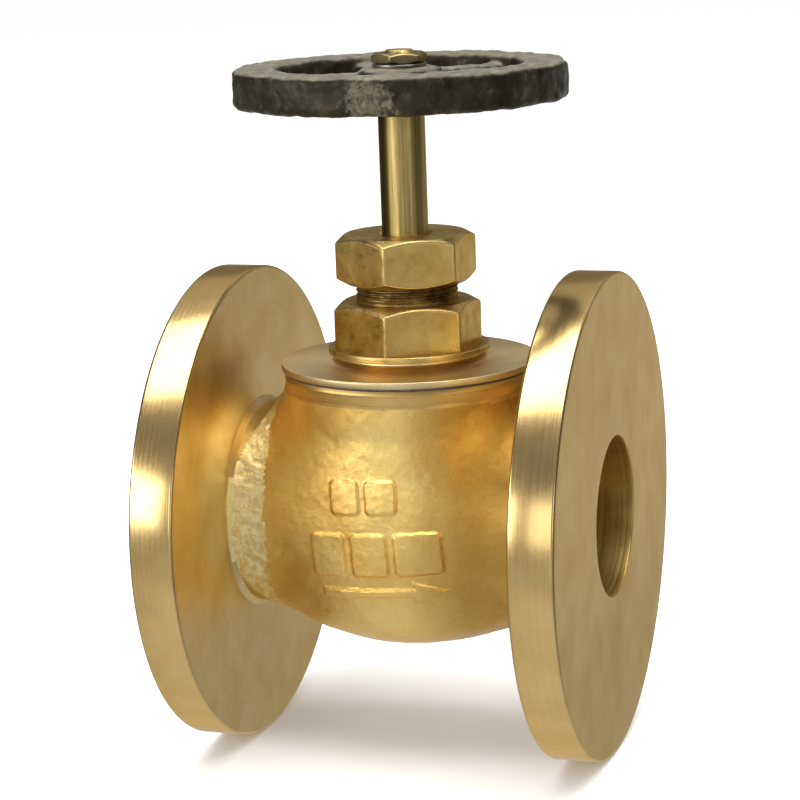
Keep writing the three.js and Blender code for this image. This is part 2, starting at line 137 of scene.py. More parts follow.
def rounded(corners, closed=False, steps=5):
    """Points of a profile whose corners (r, z, fillet) are replaced by arcs."""
    corners = [tuple(c) + (0,) * (3 - len(c)) for c in corners]
    count = len(corners)
    points = []
    for i, (r, z, fillet) in enumerate(corners):
        here = np.array([r, z])
        if fillet <= 0 or (not closed and i in (0, count - 1)):
            points.append(here)
            continue
        before = np.array(corners[i - 1][:2]) - here
        after = np.array(corners[(i + 1) % count][:2]) - here
        len_before, len_after = np.linalg.norm(before), np.linalg.norm(after)
        before, after = before / len_before, after / len_after
        half = math.acos(np.clip(before @ after, -1, 1)) / 2
        if half > math.radians(89):
            points.append(here)
            continue
        reach = min(fillet / math.tan(half), 0.48 * len_before, 0.48 * len_after)
        radius = reach * math.tan(half)
        centre = here + (before + after) / np.linalg.norm(before + after) * math.hypot(reach, radius)
        start, end = here + before * reach - centre, here + after * reach - centre
        turn = math.atan2(start[0] * end[1] - start[1] * end[0], start @ end)
        for step in range(steps + 1):
            a = turn * step / steps
            cos, sin = math.cos(a), math.sin(a)
            points.append(centre + [start[0] * cos - start[1] * sin, start[0] * sin + start[1] * cos])
    return [(p[0], p[1], 0) for p in points]


def line(start, end, steps):
    """Even points along a straight stretch of a profile, both ends included."""
    return [(start[0] + (end[0] - start[0]) * k / steps, start[1] + (end[1] - start[1]) * k / steps, 0)
            for k in range(steps + 1)]


def thread(low, high, pitch, depth, inner, outer, inside=False, crest=0.2, flank=0.6):
    """A right-hand screw thread cut into the profile rows between low and high.
    A nut's grooves (inside) stand where the screw's crests stand, so the two mesh."""
    def cut(radius, theta, z):
        phase = (z / pitch - theta / (2 * math.pi) + (0.5 if inside else 0)) % 1
        root = np.clip((np.abs(2 * phase - 1) - crest) / flank, 0, 1)
        fade = np.clip((z - low) / pitch, 0, 1) * np.clip((high - z) / pitch, 0, 1)
        here = (z >= low) & (z <= high) & (radius >= inner) & (radius <= outer)
        return np.where(here, root * fade * depth * (1 if inside else -1), 0)
    return cut


def thread_rows(radius, low, high, pitch, per_turn=10):
    """Profile rows close enough to carry a thread."""
    return line((radius, low), (radius, high), max(2, round(abs(high - low) / pitch * per_turn)))


def chain(*stretches):
    """One profile from stretches that each start where the last one ended."""
    rows = list(stretches[0])
    for stretch in stretches[1:]:
        rows += stretch[1:]
    return rows


def squared(low, high, side):
    """A square milled over part of a turned piece."""
    def cut(radius, theta, z):
        off = (theta + math.pi / 4) % (math.pi / 2) - math.pi / 4
        outline = side / 2 / np.cos(off)
        return np.where((z >= low) & (z <= high), np.minimum(outline - radius, 0), 0)
    return cut


def spin(name, rows, angles, closed=False, pipe=False, cuts=()):
    """Turns profile rows (r, z, flats) about Z, or about X for a piece on the pipe's axis.
    Rows with flats are limited by a hexagon of that size; each cut gives a change of radius."""
    table = np.array([tuple(row) + (0,) * (3 - len(row)) for row in rows], float)
    r, z, flats = (table[:, k:k + 1] for k in range(3))
    theta = angles[None, :]
    radius = r * np.ones_like(theta)
    hexagon = hex_radius(theta, np.maximum(flats, 1))
    radius = np.where(flats > 0, soft_min(radius, hexagon, 0.5), radius)
    radius = radius + sum(cut(radius, theta, z) for cut in cuts)
    height = z * np.ones_like(theta)
    grid = np.stack([radius * np.cos(theta), radius * np.sin(theta), height], -1)
    if pipe:
        grid = grid[..., [2, 0, 1]]
    poles = [k for k in (0, len(rows) - 1) if not closed and table[k, 0] < 1e-6]
    return wrapped(name, grid, poles, closed)


def wrapped(name, grid, poles, closed=False):
    """A solid from rows of points that each run right round. A row that is a pole is a single point."""
    count, around = grid.shape[:2]
    points, first = [], []
    for k in range(count):
        first.append(len(points))
        points.extend(grid[k, :1] if k in poles else grid[k])
    faces = []
    for k in range(count if closed else count - 1):
        a, b = first[k], first[(k + 1) % count]
        for j in range(around):
            n = (j + 1) % around
            if k in poles:
                faces.append((a, b + n, b + j))
            elif (k + 1) % count in poles:
                faces.append((a + j, a + n, b))
            else:
                faces.append((a + j, a + n, b + n, b + j))
    return outward(mesh_object(name, points, faces))


def outward(piece):
    """Turns a closed mesh's faces outwards."""
    mesh = piece.data
    mesh.calc_loop_triangles()
    points = np.array([v.co for v in mesh.vertices])
    corners = points[np.array([t.vertices for t in mesh.loop_triangles])]
    volume = np.einsum("ij,ij->i", corners[:, 0], np.cross(corners[:, 1], corners[:, 2])).sum()
    if volume < 0:
        mesh.flip_normals()
    return piece


def combine(target, other, operation):
    """Joins or cuts a solid with another one, which is used up."""
    step = target.modifiers.new("combine", "BOOLEAN")
    step.operation = operation
    step.solver = "MANIFOLD"
    step.object = other
    apply_modifiers(target)
    bpy.data.objects.remove(other)
    return target


def apply_modifiers(piece):
    graph = bpy.context.evaluated_depsgraph_get()
    result = bpy.data.meshes.new_from_object(piece.evaluated_get(graph))
    piece.modifiers.clear()
    piece.data = result


def prism(name, outline, front, back):
    """A prism through the body from an outline of (x, z) points."""
    count = len(outline)
    points = [(x, front, z) for x, z in outline] + [(x, back, z) for x, z in outline]
    faces = [tuple(range(count)), tuple(range(2 * count - 1, count - 1, -1))]
    faces += [(k, k + count, (k + 1) % count + count, (k + 1) % count) for k in range(count)]
    return outward(mesh_object(name, points, faces))


def box_outline(half_width, low, high):
    return [(-half_width, low), (half_width, low), (half_width, high), (-half_width, high)]


def vertex_array(mesh):
    flat = np.empty(len(mesh.vertices) * 3)
    mesh.vertices.foreach_get("co", flat)
    return flat.reshape(-1, 3) / MM


def ripple(points, size, seed):
    """Smooth noise from about -1 to 1 at each point, with bumps of the given size."""
    shift = Vector((seed * 7.3, seed * 3.1, seed * 5.7))
    return np.array([noise.noise(Vector(p) / size + shift) for p in points.tolist()])


def displace(piece, lift):
    """Moves a mesh's vertices along their normals by the lift at each point, in millimetres."""
    mesh = piece.data
    points = vertex_array(mesh)
    normals = np.empty(len(mesh.vertices) * 3)
    mesh.vertices.foreach_get("normal", normals)
    moved = points + normals.reshape(-1, 3) * lift(points)[:, None]
    mesh.vertices.foreach_set("co", (moved * MM).ravel())
    mesh.update()


def roughen(piece, layers, weight=None):
    """Roughens a surface with layers of (bump size, height) noise."""
    def lift(points):
        total = sum(height * ripple(points, size, seed) for seed, (size, height) in enumerate(layers, 1))
        return total if weight is None else total * weight(points)
    displace(piece, lift)


# ---- materials ----

EDGE_GOLD = (1.0, 0.84, 0.6, 1)
# The side of the stem that painted shade darkens.
PAINTED_SHADE_SIDE = (-0.95, -0.31, 0)
# Centre and size of a paler patch on the front of the handwheel's rim.
PALE_PATCH = (0.0067, -0.0516, 0.134)
PALE_PATCH_SIZE = 0.016


def start_material(name, color, roughness, metallic=1.0):
    material = bpy.data.materials.new(name)
    material.use_nodes = True
    tree = material.node_tree
    shader = tree.nodes["Principled BSDF"]
    shader.inputs["Base Color"].default_value = (*color, 1)
    shader.inputs["Roughness"].default_value = roughness
    shader.inputs["Metallic"].default_value = metallic
    if metallic == 1:
        shader.inputs["Specular Tint"].default_value = EDGE_GOLD
    return material, tree, shader


def node(tree, kind, **settings):
    made = tree.nodes.new(kind)
    for key, value in settings.items():
        setattr(made, key, value)
    return made


def set_inputs(made, **values):
    for key, value in values.items():
        made.inputs[key.replace("_", " ")].default_value = value
    return made


def feed(tree, socket, value):
    """Gives a socket a number, a colour or another node's output."""
    if isinstance(value, bpy.types.NodeSocket):
        tree.links.new(value, socket)
    else:
        socket.default_value = (*value, 1) if isinstance(value, tuple) else value


def surface_point(tree):
    """The surface point in metres, in the row frame at rest."""
    return tree.nodes.get("point") or node(tree, "ShaderNodeTexCoord", name="point")


def point_parts(tree, output="Object"):
    """The X, Y and Z of the surface point, or of its normal."""
    split = node(tree, "ShaderNodeSeparateXYZ")
    tree.links.new(surface_point(tree).outputs[output], split.inputs[0])
    return split.outputs


def noise_of(tree, source, size, detail, roughness):
    texture = node(tree, "ShaderNodeTexNoise")
    set_inputs(texture, Scale=1 / (size * MM), Detail=detail, Roughness=roughness)
    tree.links.new(source, texture.inputs["Vector"])
    return texture.outputs["Fac"]


def noise_at(tree, size, detail=4.0, roughness=0.55, stretch=None):
    """Noise whose features are about size millimetres across."""
    source = surface_point(tree).outputs["Object"]
    if stretch:
        mapping = set_inputs(node(tree, "ShaderNodeMapping"), Scale=stretch)
        tree.links.new(source, mapping.inputs["Vector"])
        source = mapping.outputs["Vector"]
    return noise_of(tree, source, size, detail, roughness)


def about_axis(tree, axis):
    """Distance from an axis and height along it, for marks left by turning."""
    parts = point_parts(tree)
    names = {"X": ("Y", "Z", "X"), "Z": ("X", "Y", "Z")}[axis]
    squares = [math_node(tree, "MULTIPLY", parts[n], parts[n]) for n in names[:2]]
    return math_node(tree, "SQRT", math_node(tree, "ADD", *squares)), parts[names[2]]


def math_node(tree, operation, *values):
    made = node(tree, "ShaderNodeMath", operation=operation)
    for slot, value in enumerate(values):
        feed(tree, made.inputs[slot], value)
    return made.outputs[0]


def turning_marks(tree, axis, width):
    """Fine irregular rings round an axis, about width millimetres apart."""
    radius, height = about_axis(tree, axis)
    join = node(tree, "ShaderNodeCombineXYZ")
    tree.links.new(radius, join.inputs["X"])
    tree.links.new(height, join.inputs["Y"])
    return noise_of(tree, join.outputs[0], width, 3.0, 0.7)


def ramp(tree, source, stops):
    """A colour ramp; stops are (position, colour or grey level)."""
    made = node(tree, "ShaderNodeValToRGB")
    elements = made.color_ramp.elements
    while len(elements) < len(stops):
        elements.new(0.5)
    for element, (position, color) in zip(elements, stops):
        element.position = position
        element.color = (*color, 1) if isinstance(color, tuple) else (color, color, color, 1)
    tree.links.new(source, made.inputs["Fac"])
    return made.outputs["Color"]


def mix(tree, factor, first, second, kind="MIX"):
    made = node(tree, "ShaderNodeMix", data_type="RGBA", blend_type=kind)
    for slot, value in ((0, factor), (6, first), (7, second)):
        feed(tree, made.inputs[slot], value)
    return made.outputs[2]


def worn_edges(tree, low, high, amount=1.0):
    """From 0 on flats and hollows to amount on a piece's worn edges."""
    edge = node(tree, "ShaderNodeNewGeometry").outputs["Pointiness"]
    return ramp(tree, edge, [(low, 0.0), (high, amount)])


def finish(tree, shader, color, heights, roughness=None):
    """Links a colour and perhaps a roughness to the shader, and chains bumps of (source, millimetres)."""
    tree.links.new(color, shader.inputs["Base Color"])
    if roughness:
        tree.links.new(roughness, shader.inputs["Roughness"])
    last = None
    for source, height in heights:
        made = set_inputs(node(tree, "ShaderNodeBump"), Strength=1.0, Distance=height * MM)
        tree.links.new(source, made.inputs["Height"])
        if last:
            tree.links.new(last, made.inputs["Normal"])
        last = made.outputs["Normal"]
    tree.links.new(last, shader.inputs["Normal"])


def mottled(name, low, high, blotches, roughness, metallic, relief, height):
    """A plain finish in two shades, with (size, detail) of its blotches. Relief is the (size, detail)
    of a grain, or the width of rings left by turning."""
    material, tree, shader = start_material(name, high, roughness, metallic)
    tint = ramp(tree, noise_at(tree, *blotches), [(0.35, low), (0.65, high)])
    rough = noise_at(tree, *relief) if isinstance(relief, tuple) else turning_marks(tree, "Z", relief)
    finish(tree, shader, tint, [(rough, height)])
    return material


def cast_bronze():
    """Sand-cast gunmetal: satin gold with a fine grain, deeper brown in patches, and darkened towards the
    outlet by painted shade.
    """
    material, tree, shader = start_material("cast_bronze", (0.88, 0.58, 0.17), 0.38)
    patches = ramp(tree, noise_at(tree, 18, 5), [(0.3, (0.9, 0.55, 0.13)), (0.65, (0.98, 0.72, 0.24))])
    grain = noise_at(tree, 0.55, 5, 0.7)
    specks = ramp(tree, grain, [(0.36, (0.72, 0.55, 0.3)), (0.48, (1.0, 1.0, 1.0))])
    # Painted shade: the colour darkens along X towards the outlet side.
    along = math_node(tree, "MULTIPLY", point_parts(tree)["X"], 1 / (BARREL_R * MM))
    painted_outlet_shade = ramp(tree, along, [(0.2, (1.0, 1.0, 1.0)), (0.65, (0.62, 0.52, 0.3))])
    # From here on the patches carry the painted shade as well.
    patches = mix(tree, 1.0, patches, painted_outlet_shade, "MULTIPLY")
    set_inputs(shader, Coat_Weight=0.6, Coat_Roughness=0.36)
    finish(tree, shader, mix(tree, 0.4, patches, specks, "MULTIPLY"),
           [(grain, 0.08), (noise_at(tree, 2.4, 3), 0.05)],
           ramp(tree, noise_at(tree, 5, 4), [(0.3, 0.34), (0.7, 0.45)]))
    return material


def rough_bronze():
    """The unground skin round the necks: pale, crumbly and bright."""
    material, tree, shader = start_material("rough_bronze", (0.85, 0.68, 0.36), 0.4)
    crumbs = noise_at(tree, 1.5, 5, 0.7)
    tint = ramp(tree, crumbs, [(0.3, (0.86, 0.6, 0.2)), (0.42, (1.0, 0.84, 0.42)), (0.6, (1.0, 0.95, 0.62))])
    finish(tree, shader, tint, [(crumbs, 0.35), (noise_at(tree, 0.5, 4), 0.08)],
           ramp(tree, crumbs, [(0.3, 0.45), (0.7, 0.28)]))
    return material


def turned_bronze(name, axis, low, high, roughness, ring_width, ring_depth, anisotropy):
    """Bronze turned in a lathe, with tool rings round the axis and a little tarnish."""
    material, tree, shader = start_material(name, high, roughness)
    rings = turning_marks(tree, axis, ring_width)
    stain = ramp(tree, noise_at(tree, 14, 5), [(0.3, low), (0.65, high)])
    lined = ramp(tree, rings, [(0.3, (0.8, 0.78, 0.74)), (0.6, (1.0, 1.0, 1.0))])
    tangent = node(tree, "ShaderNodeTangent", direction_type="RADIAL", axis=axis)
    tree.links.new(tangent.outputs[0], shader.inputs["Tangent"])
    shader.inputs["Anisotropic"].default_value = anisotropy
    finish(tree, shader, mix(tree, 0.6, stain, lined, "MULTIPLY"),
           [(rings, ring_depth), (noise_at(tree, 6, 3), 0.02)],
           ramp(tree, rings, [(0.3, roughness * 0.8), (0.7, roughness * 1.25)]))
    return material


def fitting_brass(name, low, high, edge_color):
    """Milled and handled brass: antique gold with brown stains, bright on worn edges."""
    material, tree, shader = start_material(name, high, 0.3)
    stain = ramp(tree, noise_at(tree, 9, 5), [(0.32, low), (0.62, high)])
    finish(tree, shader, mix(tree, worn_edges(tree, 0.5, 0.58), stain, edge_color),
           [(noise_at(tree, 1.2, 4), 0.015), (noise_at(tree, 5, 2), 0.05)],
           ramp(tree, noise_at(tree, 3, 4), [(0.3, 0.24), (0.7, 0.4)]))
    return material


def bright_brass():
    """Drawn bar, polished lengthways, and darkened along one side by painted shade."""
    material, tree, shader = start_material("bright_brass", (0.46, 0.34, 0.14), 0.25)
    streaks = noise_at(tree, 1.1, 4, 0.7, stretch=(1, 1, 0.02))
    tint = ramp(tree, streaks, [(0.34, (0.26, 0.19, 0.06)), (0.6, (0.54, 0.41, 0.16))])
    # Painted shade: one side of the bar is darkened almost to black.
    side = node(tree, "ShaderNodeVectorMath", operation="DOT_PRODUCT")
    tree.links.new(surface_point(tree).outputs["Object"], side.inputs[0])
    side.inputs[1].default_value = [part / (STEM_R * MM) for part in PAINTED_SHADE_SIDE]
    painted_stem_shade = ramp(tree, side.outputs["Value"], [(0.4, 0.0), (0.68, 0.95)])
    finish(tree, shader, mix(tree, painted_stem_shade, tint, (0.05, 0.034, 0.008)), [(streaks, 0.008)],
           ramp(tree, streaks, [(0.3, 0.46), (0.7, 0.35)]))
    return material


def painted_iron():
    """Thick black paint over rough cast iron: lighter on top, dusty and with painted sheen, and paler in one
    patch on the front.
    """
    material, tree, shader = start_material("painted_iron", (0.02, 0.018, 0.01), 0.5, 0.0)
    set_inputs(shader, Specular_Tint=(1.0, 0.9, 0.66, 1), Specular_IOR_Level=0.4)
    lumps = noise_at(tree, 4, 6, 0.65)
    paint = ramp(tree, noise_at(tree, 7, 6, 0.65), [
        (0.42, (0.004, 0.003, 0.001)), (0.58, (0.012, 0.01, 0.004)), (0.72, (0.045, 0.038, 0.021))])
    # A paler patch round one point on the front of the rim.
    away = node(tree, "ShaderNodeVectorMath", operation="DISTANCE")
    tree.links.new(surface_point(tree).outputs["Object"], away.inputs[0])
    away.inputs[1].default_value = PALE_PATCH
    near = math_node(tree, "ADD", math_node(tree, "MULTIPLY", away.outputs["Value"], -1 / PALE_PATCH_SIZE), lumps)
    pale_tint = ramp(tree, noise_at(tree, 2, 5, 0.7), [(0.4, (0.02, 0.017, 0.009)), (0.6, (0.1, 0.088, 0.055))])
    # The paint mixed with a paler tint round that patch.
    worn = mix(tree, ramp(tree, near, [(0.0, 0.0), (0.12, 0.9)]), paint, pale_tint)
    rubbed = mix(tree, worn_edges(tree, 0.52, 0.62, 0.6), worn, (0.14, 0.125, 0.08))
    # Faces turned upwards are lightened: dusty, and with painted sheen.
    facing_up = ramp(tree, point_parts(tree, "Normal")["Z"], [(0.6, 0.0), (0.95, 1.0)])
    dust_and_sheen = math_node(tree, "MULTIPLY", facing_up, lumps)
    finish(tree, shader, mix(tree, dust_and_sheen, rubbed, (0.25, 0.23, 0.17)),
           [(noise_at(tree, 1.1, 5, 0.6), 0.12), (noise_at(tree, 3.5, 3), 0.15)],
           ramp(tree, noise_at(tree, 4, 5), [(0.35, 0.3), (0.65, 0.6)]))
    return material


def white_ptfe():
    material = mottled("white_ptfe", (0.8, 0.77, 0.7), (0.9, 0.88, 0.83), (8, 4), 0.42, 0.0, 0.5, 0.01)
    shader = material.node_tree.nodes["Principled BSDF"]
    set_inputs(shader, Subsurface_Weight=0.1, Subsurface_Scale=0.001)
    return material


CAST = cast_bronze()
ROUGH = rough_bronze()
FLANGE_FACE = turned_bronze(
    "flange_face", "X", (0.7, 0.52, 0.22), (0.82, 0.65, 0.34), 0.36, 0.35, 0.01, 0.35)
FLANGE_RIM = turned_bronze(
    "flange_rim", "X", (0.76, 0.53, 0.21), (0.88, 0.63, 0.27), 0.2, 0.5, 0.006, 0.3)
BORE = turned_bronze("bored_bronze", "X", (0.55, 0.4, 0.12), (0.78, 0.6, 0.22), 0.35, 0.8, 0.02, 0.3)
TURNED = turned_bronze("turned_band", "Z", (0.74, 0.48, 0.16), (0.86, 0.6, 0.24), 0.34, 0.45, 0.03, 0.4)
BORED = turned_bronze("bored_brass", "Z", (0.52, 0.38, 0.16), (0.68, 0.53, 0.27), 0.28, 0.4, 0.012, 0.4)
COVER = turned_bronze(
    "turned_cover", "Z", (0.75, 0.59, 0.31), (0.88, 0.71, 0.42), 0.36, 0.4, 0.015, 0.6)
FITTING = fitting_brass("fitting_brass", (0.48, 0.29, 0.07), (0.64, 0.47, 0.16), (0.85, 0.68, 0.33))
NUT = fitting_brass("nut_brass", (0.16, 0.125, 0.06), (0.29, 0.225, 0.11), (0.36, 0.3, 0.17))
BRIGHT = bright_brass()
THREAD = mottled("dark_thread", (0.13, 0.08, 0.025), (0.42, 0.28, 0.1), (4, 5), 0.45, 1.0, (0.8, 4), 0.03)
STEEL = mottled("plain_steel", (0.24, 0.23, 0.2), (0.42, 0.41, 0.38), (3, 5), 0.36, 1.0, 0.4, 0.01)
GRAPHITE = mottled(
    "braided_graphite", (0.015, 0.015, 0.017), (0.08, 0.08, 0.085), (0.8, 5), 0.5, 0.2, (0.5, 4), 0.08)
FIBRE = mottled("gasket_fibre", (0.03, 0.025, 0.018), (0.11, 0.09, 0.06), (0.7, 6), 0.85, 0.0, (0.4, 5), 0.05)
IRON = painted_iron()
PTFE = white_ptfe()


# ---- placing pieces ----

def stand_for(piece, cad_node, materials, zone=None):
    """Puts the finish on a piece, hangs it on the body of the CAD node it stands for and hides that node.
    zone gives each face's material number from face centres in millimetres and normals."""
    piece.data.materials.clear()
    for material in materials:
        piece.data.materials.append(material)
    if zone:
        faces = piece.data.polygons
        centres, normals = np.empty(len(faces) * 3), np.empty(len(faces) * 3)
        faces.foreach_get("center", centres)
        faces.foreach_get("normal", normals)
        numbers = zone(centres.reshape(-1, 3) / MM, normals.reshape(-1, 3))
        faces.foreach_set("material_index", numbers.astype(np.int32))
    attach(piece, BODY_OF[cad_node])
    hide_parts(cad_node)
    return piece


def thread_zone(*bands):
    """Material 1 on the faces inside any of the (inner, outer, low, high) bands."""
    def zone(centres, normals):
        radius, height = np.hypot(centres[:, 0], centres[:, 1]), centres[:, 2]
        number = np.zeros(len(centres), int)
        for inner, outer, low, high in bands:
            number[(radius > inner) & (radius < outer) & (height > low) & (height < high)] = 1
        return number
    return zone


# ---- body casting ----

NECK_BLEND = 16.0
CROWN_BLEND = 9.0
SKIN_TOP = 43.5
RAYS_AROUND, RAYS_UP = 520, 340
MARCH_STEPS, HALVINGS = 60, 14
NEVER = 90  # longer than any ray inside the casting


def casting_field(p):
    """Negative inside the as-cast skin: barrel and necks, blended by a cast fillet."""
    x, y, z = p[..., 0], p[..., 1], p[..., 2]
    from_stem = np.hypot(x, y)
    crown = np.sqrt(x * x + y * y + (z - BARREL_BOTTOM - CROWN_R) ** 2) - CROWN_R
    wall = from_stem - BARREL_R - 0.5 * np.clip((z - 30) / 10, 0, 1)
    barrel = -soft_min(-wall, -crown, CROWN_BLEND)
    neck = np.hypot(y, z) - NECK_R
    return soft_min(barrel, neck, NECK_BLEND)


def crowded(low, high, count, weight):
    """Values from low to high, closer together where weight is large."""
    fine = np.linspace(low, high, 2000)
    total = np.cumsum(weight(fine))
    total = (total - total[0]) / (total[-1] - total[0])
    return np.interp(np.linspace(0, 1, count), total, fine)


TABLETS = [(-13.8, -4.4, 7.4, 17.6), (-2.2, 7.4, 7.4, 17.6), (-22, -10.5, -12, 1.2), (-8.2, 3.3, -12, 1.2),
           (5.6, 20, -12, 1.2)]
MARK_TILT = math.radians(3.2)


def arrow_distance(x, z):
    """Distance outside the flow arrow's outline, for a bar with a pointed head, in millimetres."""
    bar = np.maximum(np.abs(x + 4) - 15.5, np.abs(z) - 1.2)
    slope = math.hypot(3.3, 10)
    head = np.maximum(10.5 - x, (np.abs(z) * 10 + (x - 20.5) * 3.3) / slope)
    return np.minimum(bar, head)


def tablet_distance(x, z, left, right, low, high, corner=1.6):
    """Distance outside a blank tablet with round corners."""
    dx = np.abs(x - (left + right) / 2) - (right - left) / 2 + corner
    dz = np.abs(z - (low + high) / 2) - (high - low) / 2 + corner
    return np.hypot(np.maximum(dx, 0), np.maximum(dz, 0)) + np.minimum(np.maximum(dx, dz), 0) - corner


def cast_marks(p):
    """Height of the raised marks on the front of the barrel."""
    x = p[..., 0] * math.cos(MARK_TILT) + p[..., 2] * math.sin(MARK_TILT)
    z = p[..., 2] * math.cos(MARK_TILT) - p[..., 0] * math.sin(MARK_TILT)
    far = arrow_distance(x, z + 17.6)
    for tablet in TABLETS:
        far = np.minimum(far, tablet_distance(x, z, *tablet))
    return np.where(p[..., 1] < 0, MARK_RELIEF * np.clip(0.5 - far / 0.9, 0, 1), 0)


def casting_skin():
    """The as-cast skin: rays from the middle of the valve out to it, closer at the necks and the marks."""
    turn = crowded(0, 2 * math.pi, RAYS_AROUND + 1,
                   lambda a: 1 + 1.2 * bell(np.cos(a) ** 2, 1, 0.2) + bell(a, 1.5 * math.pi, 0.5))[:-1]
    lift = crowded(-math.pi / 2, math.pi / 2, RAYS_UP, lambda e: 1 + 1.4 * bell(e, -0.25, 0.5))
    lift, turn = np.meshgrid(lift, turn, indexing="ij")
    rays = np.stack([np.cos(lift) * np.cos(turn), np.cos(lift) * np.sin(turn), np.sin(lift)], -1)
    sideways = (FLANGE_BACK + 2) / np.maximum(np.abs(rays[..., 0]), 1e-3)
    up = np.where(rays[..., 2] > 1e-3, SKIN_TOP / np.maximum(rays[..., 2], 1e-3), NEVER)
    limit = np.minimum(np.minimum(sideways, NEVER), up)
    inside = np.zeros_like(limit)
    outside = limit.copy()
    found = np.zeros(limit.shape, bool)
    for step in range(1, MARCH_STEPS + 1):
        t = limit * step / MARCH_STEPS
        out = (casting_field(rays * t[..., None]) > 0) & ~found
        outside = np.where(out, t, outside)
        inside = np.where(out, limit * (step - 1) / MARCH_STEPS, inside)
        found |= out
    inside = np.where(found, inside, limit)
    for _ in range(HALVINGS):
        t = (inside + outside) / 2
        out = casting_field(rays * t[..., None]) > 0
        outside, inside = np.where(out & found, t, outside), np.where(~out & found, t, inside)
    return wrapped("valve_casting", rays * inside[..., None], (0, RAYS_UP - 1))


def raw_neck(points):
    """How far inside the unturned crescent of each neck, in millimetres; the outlet's is narrower.
    The lathe cut its outer edge round."""
    x, y, z = points.T
    from_side = 1 - np.abs(y) / np.maximum(np.hypot(y, z), 1)
    ragged = 0.5 * ripple(points, 5, 9) + 0.35 * ripple(points, 1.6, 4)
    near = 39.3 + 2.5 * from_side + np.where(x > 0, 2.6, 0)
    far = FLANGE_BACK + 0.1 - 11.5 * from_side
    return np.minimum(np.abs(x) - near + 2.2 * ragged, far - np.abs(x) + 0.6 * ragged)


def rough_band(points):
    return np.clip(raw_neck(points) / 1.4, 0, 1)


def turned_flange(side):
    """A flange turned all over, with a small fillet at the foot of its back face."""
    root, inner = NECK_R - 3, 20
    corners = [
        (0, inner), (root, inner), (root, FLANGE_BACK - 1.6),
        (NECK_R + 0.3, FLANGE_BACK - 1.6, 0.3), (NECK_R + 1.9, FLANGE_BACK, 1.4),
        (FLANGE_R, FLANGE_BACK, 1.1), (FLANGE_R, FACE_X, 1.1), (0, FACE_X),
    ]
    return [(r, side * x, 0) for r, x, _ in rounded(corners)]


def chamber_rows():
    """Profile of the chamber inside the barrel: a rounded bottom under a straight wall."""
    radius, bottom, middle, power = BARREL_R - WALL, BARREL_BOTTOM + WALL, -16, 1 / 1.2
    rows = []
    for k in range(25):
        t = k / 24 * math.pi / 2
        rows.append((radius * math.sin(t) ** power, middle + (bottom - middle) * math.cos(t) ** power, 0))
    return rows + line((radius, middle + 1), (radius, BARREL_TOP + 1), 6)[1:] + [(0, BARREL_TOP + 1, 0)]


def dividing_wall():
    """The wall between inlet and outlet: sloping down, level under the seat, sloping down again."""
    low, end, half = DECK_TOP - DECK_THICK, 46, 31
    outline = [
        (-end, BORE_R + 4), (-end, BORE_R - 3), (-half - 3, low), (half - 1, low), (end - 3, -BORE_R - 4),
        (end, -BORE_R - 4), (end, -BORE_R + 3), (half + 3, DECK_TOP), (-half + 0.5, DECK_TOP),
        (-end + 6, BORE_R + 4)]
    return prism("dividing_wall", outline, -BARREL_R, BARREL_R)


def threaded_holes():
    """The threads for the seat ring in the dividing wall and for the bonnet in the body's mouth."""
    for radius, low, high, pitch, depth in (
            (26.0, DECK_TOP - DECK_THICK - 1, DECK_TOP + 1, SEAT_PITCH, 0.8),
            (33.0, 30.0, BARREL_TOP + 1, COVER_PITCH, 0.9)):
        rows = [(0, low, 0)] + thread_rows(radius, low, high, pitch) + [(0, high, 0)]
        screw = thread(low, high - 1.5, pitch, depth, radius - 0.1, radius + 0.1, inside=True)
        yield spin("hole", rows, even_angles(144), cuts=[screw])


def body_zone(centres, normals):
    """Material number of each face of the body, in the order of build_body's list. 0 is the cast skin."""
    rough, face, rim, turned, bore = range(1, 6)
    x, y, z = centres.T
    from_pipe, from_stem = np.hypot(y, z), np.hypot(x, y)
    zone = np.zeros(len(centres), int)
    neck = (np.abs(x) < FLANGE_BACK - 0.4) & (from_pipe > BORE_R + 0.5) & (from_pipe < NECK_R + 6)
    zone[neck & (np.abs(x) > 41)] = face
    zone[neck & (raw_neck(centres) > 0)] = rough
    flange = (np.abs(x) > FLANGE_BACK - 0.55) & (from_pipe > NECK_R + 0.5)
    zone[flange] = face
    zone[np.abs(x) >= FACE_X - 0.05] = face
    zone[flange & (from_pipe > FLANGE_R - 1.2) & (np.abs(normals[:, 0]) < 0.75)] = rim
    zone[(z > BAND_FOOT - 0.05) & (from_stem > BARREL_R - 4) & (from_stem < BARREL_R + 3)] = turned
    zone[(z > 30.5) & (from_stem > BARREL_R - WALL - 0.5) & (from_stem < BARREL_R - 4)] = turned
    zone[(from_pipe < BORE_R + 0.3) & (from_stem > BARREL_R - WALL) & (np.abs(x) < FACE_X - 0.4)] = bore
    return zone


